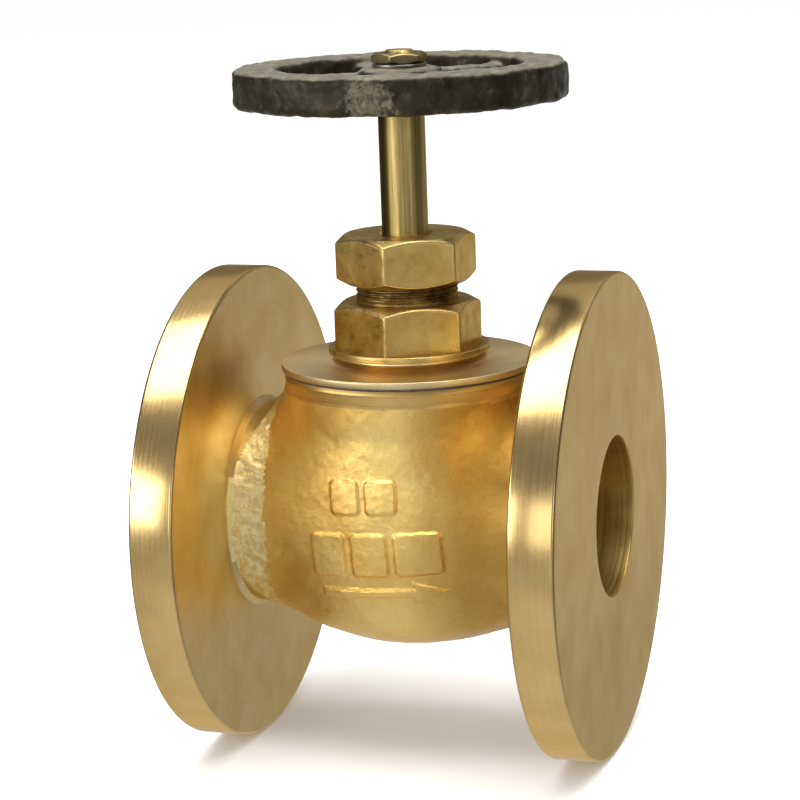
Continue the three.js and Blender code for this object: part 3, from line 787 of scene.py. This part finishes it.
def build_body():
    body = casting_skin()
    displace(body, cast_marks)
    roughen(body, [(9, 0.22), (2.6, 0.07), (1.1, 0.04)])
    roughen(body, [(3.2, 0.45), (1.5, 0.3)], rough_band)
    band = rounded([
        (0, BAND_FOOT), (BARREL_R + 0.35, BAND_FOOT, 0.15), (BARREL_R + 0.5, BAND_FOOT + 1.4, 0.1),
        (BARREL_R + 0.75, BAND_FOOT + 1.5, 0.1), (BARREL_R + 0.95, BARREL_TOP - 1.3, 0.2),
        (BARREL_R + 0.5, BARREL_TOP, 0.2), (0, BARREL_TOP)])
    combine(body, spin("band", band, even_angles(288)), "UNION")
    for side in (-1, 1):
        combine(body, spin("flange", turned_flange(side), even_angles(288), pipe=True), "UNION")
    chamber = spin("chamber", chamber_rows(), even_angles(160))
    bore = rounded([
        (0, -FACE_X - 1), (BORE_R + 1, -FACE_X - 1), (BORE_R, -FACE_X + 0.4, 0.4),
        (BORE_R, FACE_X - 0.4, 0.4), (BORE_R + 1, FACE_X + 1), (0, FACE_X + 1)])
    combine(chamber, spin("bore", bore, even_angles(160), pipe=True), "UNION")
    combine(chamber, dividing_wall(), "DIFFERENCE")
    for hole in threaded_holes():
        combine(chamber, hole, "UNION")
    combine(body, chamber, "DIFFERENCE")
    smooth(body)
    return stand_for(body, "body_casting", [CAST, ROUGH, FLANGE_FACE, FLANGE_RIM, TURNED, BORE], body_zone)


# ---- bonnet and gland ----

NECK_THREAD_R = 16.0


def chamfer_rows(flats, low, high, bottom_too):
    """Rows of a hexagon whose corners are cut by a 30 degree cone."""
    corner, flat = flats / math.sqrt(3) + 0.4, flats / 2 - 0.5
    drop = (corner - flat) * math.tan(math.pi / 6)
    rows = line((flat, low), (corner, low + drop), 12) if bottom_too else [(corner, low, 0)]
    rows += line((corner, low + (drop if bottom_too else 0.5)), (corner, high - drop), 4)[1:]
    rows += line((corner, high - drop), (flat, high), 12)[1:]
    return [(r, z, flats) for r, z, *_ in rows]


def build_bonnet():
    cover_r, low, neck_top = span("bonnet")
    hex_flats, hex_low, hex_top = 41.0, 53.0, 67.0
    cover_low, cover_top, collar_r, boss_r = 46.4, 48.4, 25.3, 22.2
    box_r, box_z, bore = 11.6, 65.0, 9.3
    skirt_r, skirt_bore, groove = 32.7, 29.8, cover_low - 3
    outside = chain(
        rounded([(skirt_bore, low), (skirt_r - 0.8, low, 0.2), (skirt_r, low + 0.8)]),
        thread_rows(skirt_r, low + 0.8, groove, COVER_PITCH),
        rounded([
            (skirt_r, groove), (skirt_r - 1.1, groove + 0.6, 0.3), (skirt_r - 1.1, cover_low, 0.3),
            (cover_r, cover_low, 0.25), (cover_r, cover_top, 0.35), (boss_r + 3.6, cover_top, 2.2),
            (boss_r, cover_top + 1.2, 1.2), (boss_r, 51, 0.3), (collar_r, 51, 0.35),
            (collar_r, hex_low, 0.45), (23.9, hex_low, 0.1)]))
    hexagon = chamfer_rows(hex_flats, hex_low, hex_top, False)
    neck = chain(
        rounded([
            (hex_flats / 2 - 0.7, hex_top), (NECK_THREAD_R - 0.2, hex_top, 0.3),
            (NECK_THREAD_R - 0.2, hex_top + 0.8, 0.2), (NECK_THREAD_R, hex_top + 1.2)]),
        thread_rows(NECK_THREAD_R, hex_top + 1.2, neck_top - 1, NECK_PITCH, per_turn=8),
        rounded([
            (NECK_THREAD_R - 1, neck_top, 0.2), (box_r + 0.8, neck_top, 0.2), (box_r, neck_top - 1, 0.3),
            (box_r, box_z, 0.3), (bore + 1.2, box_z, 0.2), (bore, box_z - 1.2)]),
        thread_rows(bore, box_z - 1.2, 42.2, STEM_PITCH),
        rounded([
            (bore, 42.2), (bore, 41.2, 0.2), (12.6, 39.2, 0.3), (15.5, 39.2, 0.6), (17, 41, 1),
            (26.8, 41, 1.5), (skirt_bore, 38, 1.5), (skirt_bore, low)]))
    cuts = [
        thread(hex_top + 0.9, neck_top - 0.6, NECK_PITCH, 0.75, NECK_THREAD_R - 0.5, NECK_THREAD_R + 0.1),
        thread(low + 0.4, groove, COVER_PITCH, 1.0, skirt_r - 0.1, skirt_r + 0.1),
        thread(41, box_z - 0.6, STEM_PITCH, 1.6, bore - 0.1, bore + 0.1, inside=True, **STEM_THREAD_FORM)]
    rows = outside + hexagon + neck[:-1]
    bonnet = smooth(spin("bonnet_cover", rows, hex_angles(), closed=True, cuts=cuts), 30)

    def zone(centres, normals):
        height, radius = centres[:, 2], np.hypot(centres[:, 0], centres[:, 1])
        number = np.zeros(len(centres), int)
        cover, threads = 1, 2
        number[(height < cover_top + 2.2) & (radius > boss_r - 0.5)] = cover
        number[(height > hex_top + 0.3) | (radius < NECK_THREAD_R + 0.2)] = threads
        return number
    return stand_for(bonnet, "bonnet", [FITTING, COVER, THREAD], zone)


def build_gland_nut():
    flats = 2 * span("gland_nut")[0]
    low, high = span("gland_nut")[1:]
    ceiling = span("gland")[2] + 0.3
    thread_r, bore = NECK_THREAD_R + 0.3, STEM_R + 0.3
    rows = chain(
        chamfer_rows(flats, low, high, True),
        rounded([
            (flats / 2 - 0.5, high), (bore + 1.3, high, 0.3), (bore, high - 1.1, 0.3), (bore, ceiling, 0.2),
            (thread_r, ceiling, 0.2), (thread_r, ceiling - 1)]),
        thread_rows(thread_r, ceiling - 1, low + 1, NECK_PITCH, per_turn=8)) + [(thread_r + 1, low, 0)]
    screw = thread(low + 0.5, ceiling - 0.8, NECK_PITCH, 0.75, thread_r - 0.2, thread_r + 0.2, inside=True)
    nut = smooth(spin("gland_nut_hex", rows, hex_angles(), closed=True, cuts=[screw]), 30)
    threads = thread_zone((-1, thread_r + 1.3, low - 1, high - 0.6))
    return stand_for(nut, "gland_nut", [FITTING, THREAD], threads)


# ---- seat ring and disc ----

def build_seat_ring():
    outer, low, top = span("seat_ring")
    bore, thread_r = 22.0, 25.7
    step = DECK_TOP + 0.3
    rows = chain(
        rounded([
            (bore, low + 1, 0.4), (bore + 0.8, low, 0.2), (thread_r - 1, low, 0.3), (thread_r, low + 0.8)]),
        thread_rows(thread_r, low + 0.8, step - 1.4, SEAT_PITCH),
        rounded([
            (thread_r, step - 1.4), (thread_r - 1, step - 1.2, 0.3), (thread_r - 1, step, 0.3),
            (outer, step, 0.3), (outer, step + 1.4, 0.3), (outer - 1.6, step + 2, 0.4),
            (bore + 3.8, step + 2, 0.6), (bore + 3.4, top, 0.25), (bore + 0.6, top, 0.25),
            (bore, top - 0.6, 0.2), (bore, low + 1)]))[:-1]
    screw = thread(low + 0.6, step - 1.4, SEAT_PITCH, 0.9, thread_r - 0.2, thread_r + 0.1)
    ring = spin("seat_ring_turned", rows, even_angles(144), closed=True, cuts=[screw])
    wrench_slots(ring, bore, low, top)
    threads = thread_zone((thread_r - 1.1, thread_r + 0.1, low, step))
    return stand_for(smooth(ring), "seat_ring", [BORED, THREAD], threads)


def wrench_slots(ring, bore, low, top):
    """Two lugs' slots inside the bore, for the tool that screws the ring in."""
    half_width, depth = 2.5, 1.6
    combine(ring, prism("slots", box_outline(half_width, low - 1, low + 4), -bore - depth, bore + depth),
            "DIFFERENCE")


def build_disc_holder():
    outer, low, top = span("disc_holder")
    stud_r, socket_r, screw_r, chamber_r = 5.0, 16.6, 13.8, 12.2
    plate = span("disc_insert")[2] + 0.3
    floor = plate + 3
    lip_r = span("disc_insert")[0] + 0.3
    skirt = plate - 3.4
    screw_low = top - 6.5
    rows = chain(
        rounded([(0, low), (stud_r - 1, low, 0.2), (stud_r, low + 0.9)]),
        thread_rows(stud_r, low + 0.9, plate - 3, STUD_PITCH),
        rounded([
            (stud_r, plate - 3), (stud_r, plate, 0.3), (lip_r, plate, 0.3), (lip_r, skirt, 0.2),
            (outer, skirt, 0.4), (outer, plate + 1.5, 0.6), (outer - 1.5, plate + 3, 0.6),
            (socket_r + 0.2, plate + 4.6, 1.6), (socket_r, plate + 7, 0.4), (socket_r, top, 0.5),
            (screw_r + 0.6, top, 0.2), (screw_r, top - 0.7)]),
        thread_rows(screw_r, top - 0.7, screw_low + 1, SWIVEL_PITCH),
        rounded([
            (screw_r, screw_low + 1), (screw_r, screw_low, 0.2), (chamber_r, screw_low, 0.3),
            (chamber_r, floor, 0.8), (0, floor)]))
    cuts = [thread(low + 0.5, plate - 2.4, STUD_PITCH, 0.85, stud_r - 0.2, stud_r + 0.1),
            thread(screw_low + 0.6, top, SWIVEL_PITCH, 0.7, screw_r - 0.1, screw_r + 0.1, inside=True)]
    holder = smooth(spin("disc_holder_turned", rows, even_angles(144), cuts=cuts))
    threads = thread_zone(
        (stud_r - 1.2, stud_r + 0.1, low, plate - 2), (screw_r - 0.1, screw_r + 1, screw_low, top))
    return stand_for(holder, "disc_holder", [BORED, THREAD], threads)


def plain_ring(cad_node, name, bore, edge, material, segments=120):
    """A turned ring of the CAD node's size with rounded edges."""
    outer, low, high = span(cad_node)
    rows = rounded(
        [(bore, low, edge), (outer, low, edge), (outer, high, edge), (bore, high, edge)], closed=True)
    return stand_for(smooth(spin(name, rows, even_angles(segments), closed=True)), cad_node, [material])


def hex_nut(cad_node, name, thread_r, pitch, material):
    """A nut chamfered on both faces, with a real thread inside."""
    half, low, high = span(cad_node)
    flat = half - 0.35
    bore = thread_r - 0.55
    rows = chain(
        chamfer_rows(2 * half, low, high, True),
        rounded([(flat, high), (thread_r + 0.4, high, 0.15), (bore, high - 0.8)]),
        thread_rows(bore, high - 0.8, low + 0.8, pitch),
        rounded([(bore, low + 0.8), (thread_r + 0.4, low, 0.15), (flat, low)]))[:-1]
    screw = thread(low - 0.5, high + 0.5, pitch, 0.65, bore - 0.05, bore + 0.05, inside=True)
    nut = smooth(spin(name, rows, hex_angles(), closed=True, cuts=[screw]), 30)
    threads = thread_zone((bore - 0.1, thread_r + 0.3, low + 0.4, high - 0.4))
    return stand_for(nut, cad_node, [material, THREAD], threads)


def build_swivel_nut():
    _, low, top = span("swivel_nut")
    flats, screw_r, bore = 27.0, 13.5, 9.3
    hex_low, hex_top = span("disc_holder")[2] + 0.3, top - 1.6
    shank = chain(
        rounded([
            (bore, low + 0.6, 0.2), (bore + 0.6, low, 0.2), (screw_r - 0.8, low, 0.2), (screw_r, low + 0.8)]),
        thread_rows(screw_r, low + 0.8, hex_low - 0.9, SWIVEL_PITCH),
        rounded([(screw_r, hex_low - 0.9), (screw_r - 0.8, hex_low - 0.7, 0.1), (screw_r - 0.8, hex_low)]))
    head = chain(
        chamfer_rows(flats, hex_low, hex_top, False),
        rounded([
            (flats / 2 - 0.7, hex_top), (12.4, hex_top, 0.2), (10.6, top, 0.3), (bore + 0.4, top, 0.2),
            (bore, top - 0.5, 0.1), (bore, low + 0.6)]))
    rows = shank + head[:-1]
    screw = thread(low + 0.5, hex_low - 0.6, SWIVEL_PITCH, 0.75, screw_r - 0.1, screw_r + 0.1)
    nut = smooth(spin("swivel_nut_hex", rows, hex_angles(), closed=True, cuts=[screw]), 30)
    threads = thread_zone((screw_r - 1, screw_r + 0.05, low, hex_low))
    return stand_for(nut, "swivel_nut", [FITTING, THREAD], threads)


def build_thrust_pad():
    outer, low, high = span("thrust_pad")
    rows = rounded([(0, low), (outer, low, 0.3), (outer, high - 0.25, 0.3), (0, high)])
    return stand_for(smooth(spin("thrust_pad_disc", rows, even_angles(96))), "thrust_pad", [STEEL])


# ---- packing ----

def weave(points, middle, number):
    """Lift of a braided ring's surface, with a slanting cut across it."""
    x, y, z = points.T
    turn = np.arctan2(y, x)
    round_section = np.arctan2(z - middle[1], np.hypot(x, y) - middle[0])
    strands = np.sin(44 * turn + 3 * round_section) * np.sin(44 * turn - 3 * round_section)
    from_cut = (turn - 2.1 * number - 0.03 * (z - middle[1]) + math.pi) % (2 * math.pi) - math.pi
    return 0.09 * strands - 0.35 * bell(from_cut, 0, 0.02)


def build_packing_ring(number):
    cad_node = f"packing_ring_{number}"
    outer, low, high = span(cad_node)
    inner, slack, corner = STEM_R + 0.3, 0.1, 0.7
    section = rounded([
        (inner + slack, low + slack, corner), (outer - slack, low + slack, corner),
        (outer - slack, high - slack, corner), (inner + slack, high - slack, corner)], closed=True, steps=4)
    rows = []
    for k, (r, z, _) in enumerate(section):
        rows += line((r, z), section[(k + 1) % len(section)][:2], 2 if k % 5 else 5)[:-1]
    ring = spin(f"braided_ring_{number}", rows, even_angles(360), closed=True)
    middle = (inner + outer) / 2, (low + high) / 2
    displace(ring, lambda points: weave(points, middle, number))
    return stand_for(smooth(ring), cad_node, [GRAPHITE])


def build_gland():
    outer, low, high = span("gland")
    bore, sleeve, flange_z = STEM_R + 0.3, 11.3, 81.0
    rows = rounded([
        (bore, low, 0.2), (sleeve, low, 0.3), (sleeve, flange_z, 0.3), (outer, flange_z, 0.4),
        (outer, high, 0.6), (bore, high, 0.3)], closed=True)
    return stand_for(smooth(spin("gland_follower", rows, even_angles(120), closed=True)), "gland", [BORED])


# ---- stem and handwheel ----

def build_stem():
    head_r, low, end = span("stem")
    wheel_seat, square_top = 129.0, span("handwheel_washer")[1] - 0.5
    neck_r, crest_r, thread_low, thread_top, end_r = 8.3, 9.0, 39.3, 64.0, 4.9
    head_top, end_low = low + 3.8, square_top + 1.5
    rows = chain(
        rounded([
            (0, low), (head_r - 2, low, 1.2), (head_r, low + 1, 0.5), (head_r, head_top, 0.5),
            (neck_r, head_top, 0.7), (neck_r, thread_low - 0.8, 0.2), (crest_r, thread_low)]),
        thread_rows(crest_r, thread_low, thread_top - 1, STEM_PITCH, per_turn=16.7),
        rounded([
            (crest_r, thread_top - 1), (STEM_R, thread_top, 0.3), (STEM_R, wheel_seat - 0.5, 0.2),
            (6.75, wheel_seat, 0.1), (6.75, square_top - 0.5, 0.2), (4.2, square_top, 0.2),
            (4.2, square_top + 0.9, 0.2), (end_r, end_low)]),
        thread_rows(end_r, end_low, end - 1, STUD_PITCH),
        rounded([(end_r, end - 1), (end_r - 0.9, end, 0.2), (0, end)]))
    cuts = [
        thread(
            thread_low, thread_top - 0.5, STEM_PITCH, 1.9, crest_r - 0.1, crest_r + 0.1, **STEM_THREAD_FORM),
        thread(square_top + 1, end - 0.2, STUD_PITCH, 0.85, end_r - 0.1, end_r + 0.1),
        squared(wheel_seat + 0.1, square_top + 0.05, SQUARE)]
    stem = smooth(spin("spindle", rows, even_angles(144), cuts=cuts), 30)
    screw = thread_zone((0, crest_r + 0.1, thread_low, thread_top - 0.3))
    return stand_for(stem, "stem", [BRIGHT, THREAD], screw)


WHEEL_LOBES = 10
LOBE_DEPTH = 1.7
SPOKES = 5
SPOKE_TURN = math.radians(53)
SPOKE_LOW, SPOKE_HIGH = 132.2, 137.8
SKIN_VOXEL = 0.55


def lobes(middle, edge):
    """Finger lobes, cut only into the outer half of the rim's section."""
    def cut(radius, theta, z):
        outside = np.clip((radius - middle) / (edge - middle), 0, 1)
        return -LOBE_DEPTH * outside * (1 - np.abs(np.cos(WHEEL_LOBES * theta / 2)) ** 0.8)
    return cut


def loft(name, sections):
    """A closed solid through a row of sections with equal numbers of points."""
    sections = np.asarray(sections)
    count, around = sections.shape[:2]
    faces = [tuple(range(around)), tuple(range(count * around - 1, (count - 1) * around - 1, -1))]
    for k in range(count - 1):
        for j in range(around):
            n = (j + 1) % around
            faces.append((k * around + j, k * around + n, (k + 1) * around + n, (k + 1) * around + j))
    return outward(mesh_object(name, sections.reshape(-1, 3), faces))


def spoke(turn, reach):
    """One arm of the wheel, oval in section and flared into the hub and the rim."""
    middle, half_height = (SPOKE_LOW + SPOKE_HIGH) / 2, (SPOKE_HIGH - SPOKE_LOW) / 2
    sections = []
    for along in np.linspace(6, reach, 15):
        flare = min(math.exp(-(along - 11) / 3) + math.exp(-(reach - 3 - along) / 2), 1)
        section = []
        for a in even_angles(20):
            cos, sin = math.cos(a), math.sin(a)
            across = (3.6 + 1.8 * flare) * math.copysign(abs(cos) ** 0.6, cos)
            height = middle + (half_height + 0.4 * flare) * math.copysign(abs(sin) ** 0.75, sin)
            section.append((along * math.cos(turn) - across * math.sin(turn),
                            along * math.sin(turn) + across * math.cos(turn), height))
        sections.append(section)
    return loft("spoke", sections)


def join(pieces):
    """One mesh from several, their faces left as they are."""
    points, faces = [], []
    for piece in pieces:
        first = len(points)
        points.extend(vertex_array(piece.data))
        faces.extend(tuple(first + v for v in face.vertices) for face in piece.data.polygons)
        bpy.data.objects.remove(piece)
    return mesh_object("wheel", points, faces)


def build_handwheel():
    outer, low, top = span("handwheel")
    inner, hub_r = 37.4, 13.4
    hub_low, hub_top = low + 0.5, span("handwheel_washer")[1] - 0.2
    rim_rows = rounded(
        [(inner, low, 2.6), (outer, low, 2.0), (outer, top, 1.7), (inner, top, 2.2)], closed=True)
    hub_rows = rounded([
        (0, hub_low), (hub_r - 1, hub_low, 0.8), (hub_r, hub_low + 2.5, 1.5),
        (hub_r - 0.6, hub_top - 1, 1.2), (hub_r - 3, hub_top, 1), (0, hub_top)])
    wheel = join([
        spin("rim", rim_rows, even_angles(400), closed=True, cuts=[lobes(inner + 4, outer)]),
        spin("hub", hub_rows, even_angles(96)),
        *(spoke(SPOKE_TURN + 2 * math.pi * k / SPOKES, inner + 4) for k in range(SPOKES))])
    wheel.name = "wheel_casting"
    step = wheel.modifiers.new("skin", "REMESH")
    step.mode, step.voxel_size = "VOXEL", SKIN_VOXEL * MM
    step = wheel.modifiers.new("soften", "SMOOTH")
    step.factor, step.iterations = 0.5, 4
    apply_modifiers(wheel)
    roughen(wheel, [(9, 0.4), (4, 0.32), (1.6, 0.13)])
    half_hole = SQUARE / 2 + 0.3
    hole = prism("square_hole", box_outline(half_hole, low - 2, hub_top + 2), -half_hole, half_hole)
    combine(wheel, hole, "DIFFERENCE")
    return stand_for(smooth(wheel, 60), "handwheel", [IRON])


# ---- camera, lights and floor ----

AZIMUTH, ELEVATION, ROLL = (math.radians(a) for a in (18.46, 12.0, -2.04))
DISTANCE = 0.8017
LENS, SENSOR = 113.3, 36
AIM_SIDE, AIM_UP = -0.0035, 0.034
FLOOR_Z = -FLANGE_R - 0.3
LAMP_DISTANCE = 1.15
PALE_GLOW = 1.15
LEFT_GLOW = [(0.0, 0.64), (0.29, 0.62), (0.37, 0.44), (0.455, 0.3), (0.53, 0.16), (0.9, 0.18), (1.0, 0.4)]
RIGHT_GLOW = [
    (0.0, 0.62), (0.22, 0.6), (0.34, 0.44), (0.41, 0.66), (0.48, 0.56), (0.55, 0.24), (0.9, 0.25), (1.0, 0.4)]
SIDE_GLOW = [(0.0, 0.6), (0.33, 1.0), (0.72, 1.0), (0.9, 0.5), (0.98, 0.2)]


def camera():
    back = Vector((math.sin(AZIMUTH) * math.cos(ELEVATION), -math.cos(AZIMUTH) * math.cos(ELEVATION),
                   math.sin(ELEVATION)))
    right = Vector((math.cos(AZIMUTH), math.sin(AZIMUTH), 0))
    up = back.cross(right)
    rolled_right = right * math.cos(ROLL) + up * math.sin(ROLL)
    rolled_up = up * math.cos(ROLL) - right * math.sin(ROLL)
    data = bpy.data.cameras.new("camera")
    data.lens, data.sensor_width = LENS, SENSOR
    eye = bpy.data.objects.new("camera", data)
    bpy.context.scene.collection.objects.link(eye)
    turn = Matrix((rolled_right, rolled_up, back)).transposed().to_4x4()
    place_at = right * AIM_SIDE + up * AIM_UP + back * DISTANCE
    eye.matrix_world = Matrix.Translation(place_at) @ turn
    bpy.context.scene.camera = eye


def softbox(name, turn, lift, size, glow):
    """A soft lamp at a compass turn and height angle in degrees, facing the valve. glow is its brightness."""
    turn, lift = math.radians(turn), math.radians(lift)
    data = bpy.data.lights.new(name, "AREA")
    data.shape, data.size, data.size_y = "RECTANGLE", *size
    data.energy = glow * math.pi * size[0] * size[1]
    lamp = bpy.data.objects.new(name, data)
    bpy.context.scene.collection.objects.link(lamp)
    away = Vector((math.cos(turn) * math.cos(lift), math.sin(turn) * math.cos(lift), math.sin(lift)))
    lamp.location = away * LAMP_DISTANCE + Vector((0, 0, 0.02))
    lamp.rotation_euler = away.to_track_quat("Z", "Y").to_euler()


def studio_world():
    """A pale backdrop to look at, and a room of uneven brightness that the metal reflects."""
    world = bpy.data.worlds.new("studio")
    bpy.context.scene.world = world
    world.use_nodes = True
    tree = world.node_tree
    split = node(tree, "ShaderNodeSeparateXYZ")
    tree.links.new(node(tree, "ShaderNodeTexCoord").outputs["Generated"], split.inputs[0])
    across, height = (
        math_node(tree, "ADD", math_node(tree, "MULTIPLY", split.outputs[n], 0.5), 0.5) for n in "XZ")
    left, right = ramp(tree, height, LEFT_GLOW), ramp(tree, height, RIGHT_GLOW)
    room = mix(tree, ramp(tree, across, [(0.4, 0.0), (0.6, 1.0)]), left, right)
    room = mix(tree, 1.0, room, ramp(tree, across, SIDE_GLOW), "MULTIPLY")
    reflected = node(tree, "ShaderNodeLightPath").outputs["Is Glossy Ray"]
    tree.links.new(mix(tree, reflected, (PALE_GLOW,) * 3, room), tree.nodes["Background"].inputs["Color"])
    tree.nodes["Background"].inputs["Strength"].default_value = 1.0


def studio():
    edge = 20000  # far enough that the floor's end is never seen
    corners = [(-edge, -edge), (edge, -edge), (edge, edge), (-edge, edge)]
    floor = mesh_object("floor", [(x, y, FLOOR_Z) for x, y in corners], [(0, 1, 2, 3)])
    floor.data.materials.append(start_material("floor", (0.9, 0.9, 0.9), 0.9, 0.0)[0])
    floor.visible_glossy = False
    studio_world()
    softbox("left box", -133, 10, (0.95, 0.4), 4.6)
    softbox("front box", -90, 9, (0.5, 0.4), 1.7)
    softbox("right box", -40, 8, (0.25, 0.4), 2.0)
    softbox("top box", -90, 83, (1.6, 0.92), 4.2)
    softbox("back box", 90, 48, (1.8, 0.7), 0.25)
    bpy.context.scene.view_settings.view_transform = "Standard"


camera()
studio()
build_body()
build_bonnet()
build_gland_nut()
build_seat_ring()
build_disc_holder()
build_swivel_nut()
build_thrust_pad()
build_gland()
build_stem()
build_handwheel()
for number in (1, 2, 3):
    build_packing_ring(number)
plain_ring("disc_insert", "ptfe_disc", 5.3, 0.3, PTFE)
plain_ring("insert_washer", "disc_washer", 5.3, 0.3, FITTING)
plain_ring("packing_washer", "box_washer", STEM_R + 0.3, 0.2, FITTING)
plain_ring("bonnet_gasket", "cover_gasket", 33.0, 0.1, FIBRE, 180)
plain_ring("handwheel_washer", "wheel_washer", 5.2, 0.2, STEEL)
hex_nut("insert_nut", "disc_nut", 5.0, STUD_PITCH, FITTING)
hex_nut("handwheel_nut", "wheel_nut", 4.9, STUD_PITCH, NUT)
